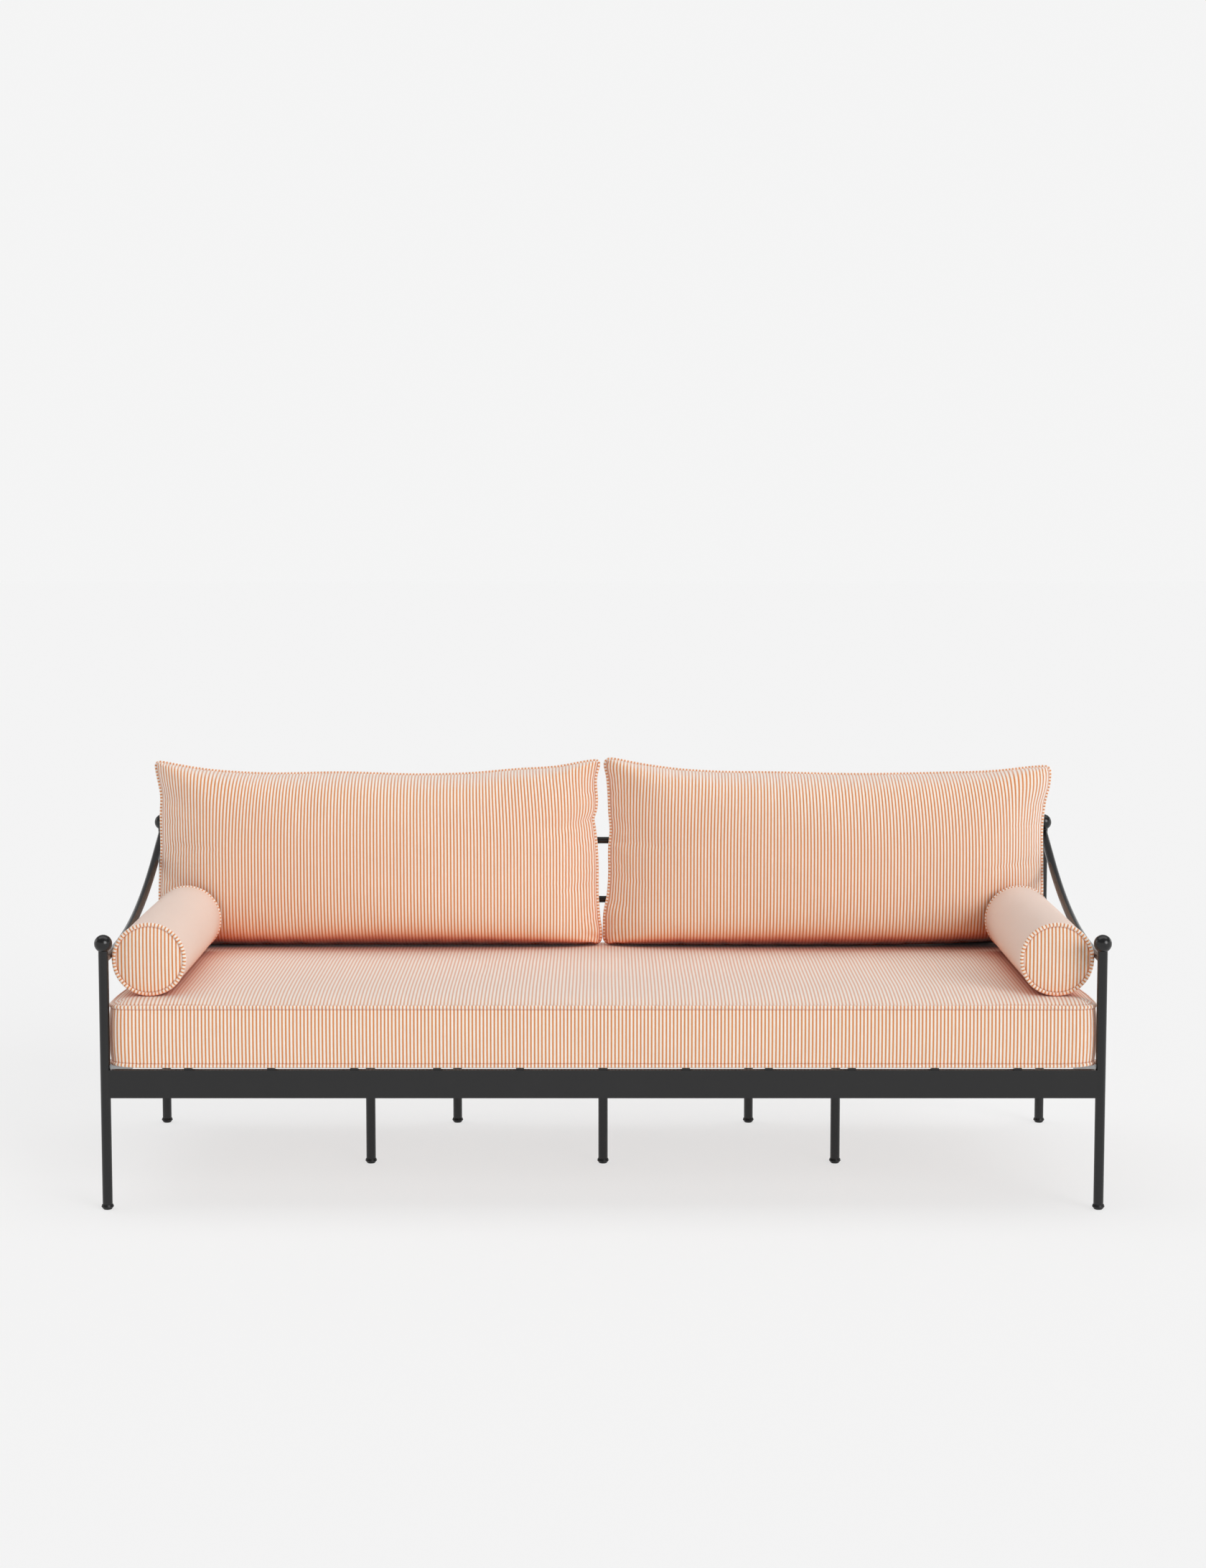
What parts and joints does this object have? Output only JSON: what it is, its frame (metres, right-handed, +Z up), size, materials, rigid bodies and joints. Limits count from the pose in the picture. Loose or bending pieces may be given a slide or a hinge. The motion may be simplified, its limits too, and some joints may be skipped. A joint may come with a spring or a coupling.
{
  "type": "outdoor sofa",
  "caption": "Long outdoor sofa: tubular metal frame with ball finials and swept arms, boxed seat cushion, loose back cushions and round bolsters in striped fabric.",
  "frame": {"origin": "on the floor, under the middle of the sofa's bounding box", "axes": "+X to the sofa's left as seen by someone sitting on it, which is the right in a front view; +Y from front to back; +Z up"},
  "size_m": [2.1378, 0.888, 0.8856],
  "materials": {
    "frame_coating": "charcoal black powder coat, satin with a fine grain",
    "foot_plastic": "black moulded plastic, matte",
    "striped_fabric": "woven outdoor fabric, cream with narrow terracotta stripes"
  },
  "bodies": {
    "frame": {"front_rail": "frame_coating", "back_seat_rail_left": "frame_coating", "back_seat_rail_centre": "frame_coating", "back_seat_rail_right": "frame_coating", "side_rail_left": "frame_coating", "side_rail_right": "frame_coating", "centre_beam": "frame_coating", "seat_slat_01": "frame_coating", "seat_slat_02": "frame_coating", "seat_slat_03": "frame_coating", "seat_slat_04": "frame_coating", "seat_slat_05": "frame_coating", "seat_slat_06": "frame_coating", "seat_slat_07": "frame_coating", "seat_slat_08": "frame_coating", "seat_slat_09": "frame_coating", "seat_slat_10": "frame_coating", "seat_slat_11": "frame_coating", "front_post_left": "frame_coating", "front_post_right": "frame_coating", "back_post_left": "frame_coating", "back_post_right": "frame_coating", "back_upright_left": "frame_coating", "back_upright_right": "frame_coating", "middle_leg_left": "frame_coating", "middle_leg_centre": "frame_coating", "middle_leg_right": "frame_coating", "upper_back_rail": "frame_coating", "lower_back_rail_left": "frame_coating", "lower_back_rail_centre": "frame_coating", "lower_back_rail_right": "frame_coating", "arm_left": "frame_coating", "arm_right": "frame_coating", "front_finials": "frame_coating", "back_finials": "frame_coating", "front_feet": "foot_plastic", "middle_feet": "foot_plastic", "back_feet": "foot_plastic"},
    "seat_cushion": {"seat_cushion": "striped_fabric"},
    "back_cushion_left": {"back_cushion_left": "striped_fabric"},
    "back_cushion_right": {"back_cushion_right": "striped_fabric"},
    "bolster_left": {"bolster_left": "striped_fabric"},
    "bolster_right": {"bolster_right": "striped_fabric"}
  },
  "joints": [
    {"name": "seat_cushion_lift", "type": "slide", "parent": "frame", "child": "seat_cushion", "axis": [0, 0, 1], "range_m": [0, 0.45]},
    {"name": "back_cushion_left_lift", "type": "slide", "parent": "seat_cushion", "child": "back_cushion_left", "axis": [0, 0, 1], "range_m": [0, 0.32]},
    {"name": "back_cushion_right_lift", "type": "slide", "parent": "seat_cushion", "child": "back_cushion_right", "axis": [0, 0, 1], "range_m": [0, 0.32]},
    {"name": "bolster_left_lift", "type": "slide", "parent": "seat_cushion", "child": "bolster_left", "axis": [0, 0, 1], "range_m": [0, 0.22]},
    {"name": "bolster_right_lift", "type": "slide", "parent": "seat_cushion", "child": "bolster_right", "axis": [0, 0, 1], "range_m": [0, 0.22]}
  ]
}
